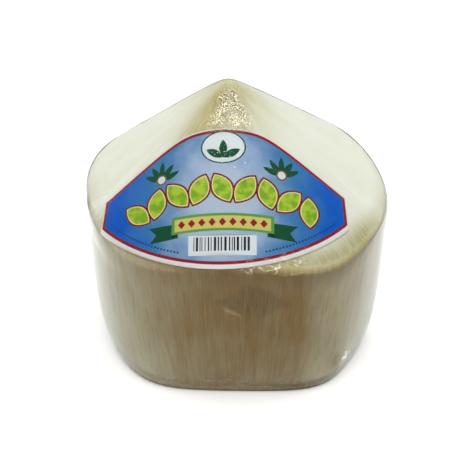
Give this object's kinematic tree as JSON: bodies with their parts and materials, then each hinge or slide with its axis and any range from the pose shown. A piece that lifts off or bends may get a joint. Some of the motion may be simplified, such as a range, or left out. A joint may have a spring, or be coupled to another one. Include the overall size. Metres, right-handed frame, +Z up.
{
  "type": "pared young coconut",
  "caption": "Young coconut pared to a pale drum with a conical top and a flat foot, with a printed label under a clear wrap.",
  "frame": {"origin": "on the flat foot, straight below the point that the cuts are measured from, on the surface that it stands on", "axes": "+Z up through the nut, -Y towards the label, +X to the label's right as it is read"},
  "size_m": [0.13, 0.1384, 0.1187],
  "materials": {
    "husk": "freshly cut fibrous husk, matt",
    "label": "printed gloss paper",
    "wrap": "clear glossy film"
  },
  "bodies": {
    "root": {"husk": "husk", "label": "label", "wrap": "wrap"}
  },
  "joints": []
}
